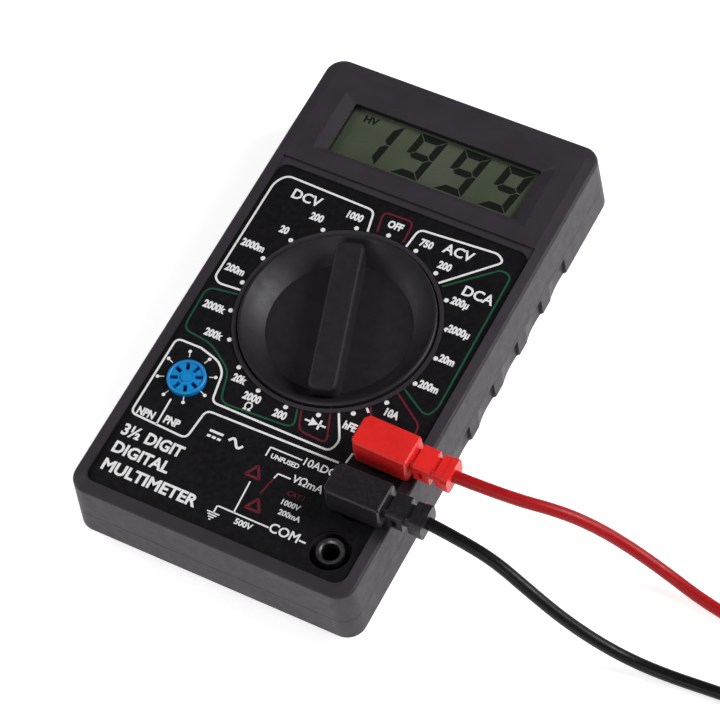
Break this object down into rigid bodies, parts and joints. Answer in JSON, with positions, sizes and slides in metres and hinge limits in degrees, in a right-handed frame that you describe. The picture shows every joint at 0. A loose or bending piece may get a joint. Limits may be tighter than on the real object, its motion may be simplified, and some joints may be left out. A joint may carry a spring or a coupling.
{
  "type": "digital multimeter",
  "caption": "Pocket digital multimeter lying on its back: display, rotary selector, transistor socket, jacks and two plugged test leads with coiled cords and probes.",
  "frame": {"origin": "middle of the case outline, on the rear face that the meter rests on, without the test leads", "axes": "+Z out of the face, +Y along the length towards the display, +X towards the side with the input jacks"},
  "size_m": [0.2229, 0.1469, 0.0284],
  "materials": {
    "case_plastic": "satin moulded ABS, charcoal, fine spark texture",
    "label_film": "satin printed film, near black",
    "foam": "matte black foam",
    "clear_pane": "polished clear acrylic",
    "lcd_cell": "polished glass cell, grey-green",
    "white_plastic": "satin white moulding",
    "elastomer": "matte silicone with conducting stripes",
    "board": "satin solder mask on phenolic board",
    "epoxy": "glossy black epoxy drop",
    "resistor_body": "glossy lacquer",
    "capacitor_body": "glossy dipped film",
    "trimmer_plastic": "satin blue moulding",
    "rotor_plastic": "satin ivory moulding",
    "clear_glass": "polished glass tube",
    "nickel": "bright nickel plate",
    "jack_plate": "dull nickel plate",
    "brass": "bare sprung brass",
    "shunt_alloy": "drawn manganese copper wire",
    "socket_plastic": "satin blue moulding",
    "knob_plastic": "satin moulded ABS, charcoal",
    "spring_steel": "bare spring steel",
    "battery_jacket": "satin lacquered steel jacket",
    "snap_plastic": "matte vinyl",
    "wire_cover": "satin PVC",
    "screw_steel": "zinc plated steel",
    "red_plug_plastic": "semi-gloss moulded PVC, red",
    "black_plug_plastic": "semi-gloss moulded PVC, black",
    "red_cord": "semi-gloss PVC sheath, red",
    "black_cord": "semi-gloss PVC sheath, black",
    "red_handle": "semi-gloss moulding, red",
    "black_handle": "semi-gloss moulding, black"
  },
  "bodies": {
    "case": {"front_case": "case_plastic", "rear_case": "case_plastic", "face_label": "label_film", "lcd_window": "clear_pane", "lcd_gasket": "foam", "lcd_glass": "lcd_cell", "lcd_frame": "white_plastic", "zebra_strip": "elastomer", "transistor_socket": "socket_plastic", "pcb": "board", "meter_chip": "epoxy", "resistors": "resistor_body", "capacitors": "capacitor_body", "trimmer_base": "trimmer_plastic", "fuse_tube": "clear_glass", "fuse_caps": "nickel", "fuse_clips": "nickel", "shunt_wire": "shunt_alloy", "battery": "battery_jacket", "battery_snap": "snap_plastic", "battery_leads": "wire_cover", "case_screws": "screw_steel", "pcb_screws": "screw_steel", "input_jack_10a": "jack_plate", "input_jack_vma": "jack_plate", "input_jack_com": "jack_plate"},
    "selector": {"selector_knob": "knob_plastic", "wiper_contacts": "brass", "detent_springs": "spring_steel", "detent_balls": "spring_steel"},
    "trimmer": {"trimmer_rotor": "rotor_plastic"},
    "red_sleeve": {"red_contact_spring": "brass"},
    "red_plug": {"red_plug_body": "red_plug_plastic", "red_plug_pin": "nickel", "red_lead": "red_cord", "red_lead_coil": "red_cord", "red_lead_tail": "red_cord", "red_probe_handle": "red_handle", "red_probe_tip": "nickel"},
    "black_sleeve": {"black_contact_spring": "brass"},
    "black_plug": {"black_plug_body": "black_plug_plastic", "black_plug_pin": "nickel", "black_lead": "black_cord", "black_lead_coil": "black_cord", "black_lead_tail": "black_cord", "black_probe_handle": "black_handle", "black_probe_tip": "nickel"}
  },
  "joints": [
    {"name": "selector_turn", "type": "hinge", "parent": "case", "child": "selector", "pos_m": [0, -0.00143, 0.017], "axis": [0, 0, 1], "continuous": true},
    {"name": "trimmer_turn", "type": "hinge", "parent": "case", "child": "trimmer", "pos_m": [0.017, 0.024, 0.008], "axis": [0, 0, 1], "range_deg": [-105, 105]},
    {"name": "red_plug_pull", "type": "slide", "parent": "case", "child": "red_sleeve", "axis": [0, 0, 1], "range_m": [0, 0.017]},
    {"name": "red_plug_swivel", "type": "hinge", "parent": "red_sleeve", "child": "red_plug", "pos_m": [0.0254, -0.0271, 0.0127], "axis": [0, 0, 1], "range_deg": [0, 60]},
    {"name": "black_plug_pull", "type": "slide", "parent": "case", "child": "black_sleeve", "axis": [0, 0, 1], "range_m": [0, 0.017]},
    {"name": "black_plug_swivel", "type": "hinge", "parent": "black_sleeve", "child": "black_plug", "pos_m": [0.0254, -0.0398, 0.0127], "axis": [0, 0, 1], "range_deg": [-60, 0]}
  ]
}
